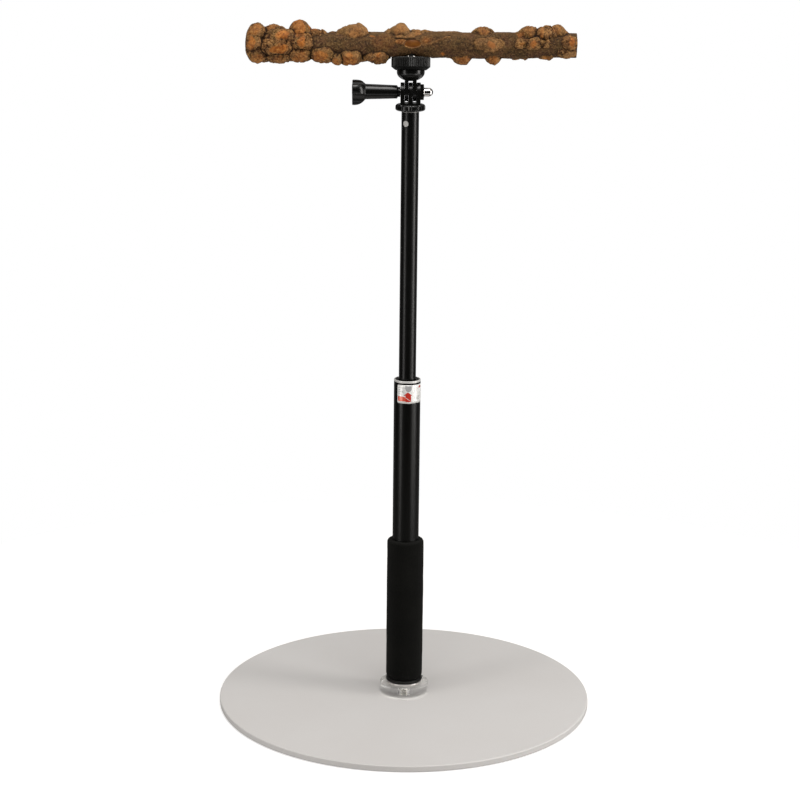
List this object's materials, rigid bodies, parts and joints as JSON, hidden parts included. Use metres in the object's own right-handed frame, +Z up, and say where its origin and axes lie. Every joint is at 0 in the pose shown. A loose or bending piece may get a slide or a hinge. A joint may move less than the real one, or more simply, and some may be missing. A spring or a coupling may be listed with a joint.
{
  "type": "bird perch stand",
  "caption": "Free-standing bird perch on a round base, with a twist-lock telescopic pole, a tilting head held by a thumb screw and a knobbly wood perch.",
  "frame": {"origin": "centre of the underside of the round base, on the floor", "axes": "+Z up the pole, -Y towards the front, +X along the perch to the right, away from the thumb knob"},
  "size_m": [0.3, 0.3, 0.5488],
  "materials": {
    "base_paint": "satin off-white powder coat",
    "screw_steel": "turned stainless steel",
    "clear_acrylic": "polished clear acrylic",
    "bright_metal": "bright plated",
    "matte_black": "fine satin moulded",
    "gloss_black": "semi-gloss moulded",
    "grey_plastic": "plain moulded",
    "brass_insert": "turned",
    "black_foam": "closed-cell foam, very matte",
    "black_anodised": "satin black anodised",
    "label_foil": "satin foil sticker",
    "rivet_grey": "plain moulded",
    "perch_wood": "natural bark with bare orange-brown knobs"
  },
  "bodies": {
    "stand": {"base_plate": "base_paint", "base_screw": "screw_steel", "acrylic_spacer": "clear_acrylic", "foot_washer": "bright_metal", "end_cap": "matte_black", "cap_insert": "brass_insert", "foam_grip": "black_foam", "outer_tube": "black_anodised", "lock_label": "label_foil", "collar_ring": "bright_metal", "guide_bush": "matte_black"},
    "lock_slider": {"lock_sleeve": "matte_black"},
    "upper_pole": {"lock_wedge": "grey_plastic", "inner_tube": "black_anodised", "head_mount": "gloss_black", "tube_rivet": "rivet_grey", "cap_nut": "bright_metal"},
    "thumb_screw": {"thumb_bolt": "screw_steel", "thumb_knob": "gloss_black"},
    "tilting_head": {"adapter_body": "gloss_black", "adapter_stud": "screw_steel"},
    "locking_wheel": {"lock_wheel": "matte_black", "wheel_insert": "brass_insert"},
    "perch": {"perch_insert": "screw_steel", "perch_branch": "perch_wood"}
  },
  "joints": [
    {"name": "height_slide", "type": "slide", "parent": "stand", "child": "lock_slider", "axis": [0, 0, 1], "range_m": [-0.209, 0.0045]},
    {"name": "twist_lock", "type": "hinge", "parent": "lock_slider", "child": "upper_pole", "pos_m": [0, 0, 0.26], "axis": [0, 0, 1], "range_deg": [0, 180]},
    {"name": "head_tilt", "type": "hinge", "parent": "upper_pole", "child": "tilting_head", "pos_m": [0, 0, 0.4942], "axis": [1, 0, 0], "range_deg": [-82, 98]},
    {"name": "thumb_screw_turn", "type": "hinge", "parent": "upper_pole", "child": "thumb_screw", "pos_m": [0, 0, 0.4942], "axis": [1, 0, 0], "range_deg": [-360, 0]},
    {"name": "wheel_turn", "type": "hinge", "parent": "tilting_head", "child": "locking_wheel", "pos_m": [0, 0, 0.4942], "axis": [0, 0.1392, 0.9903], "range_deg": [-360, 0]},
    {"name": "perch_swivel", "type": "hinge", "parent": "tilting_head", "child": "perch", "pos_m": [0, 0, 0.4942], "axis": [0, 0.1392, 0.9903], "range_deg": [-180, 180]}
  ]
}
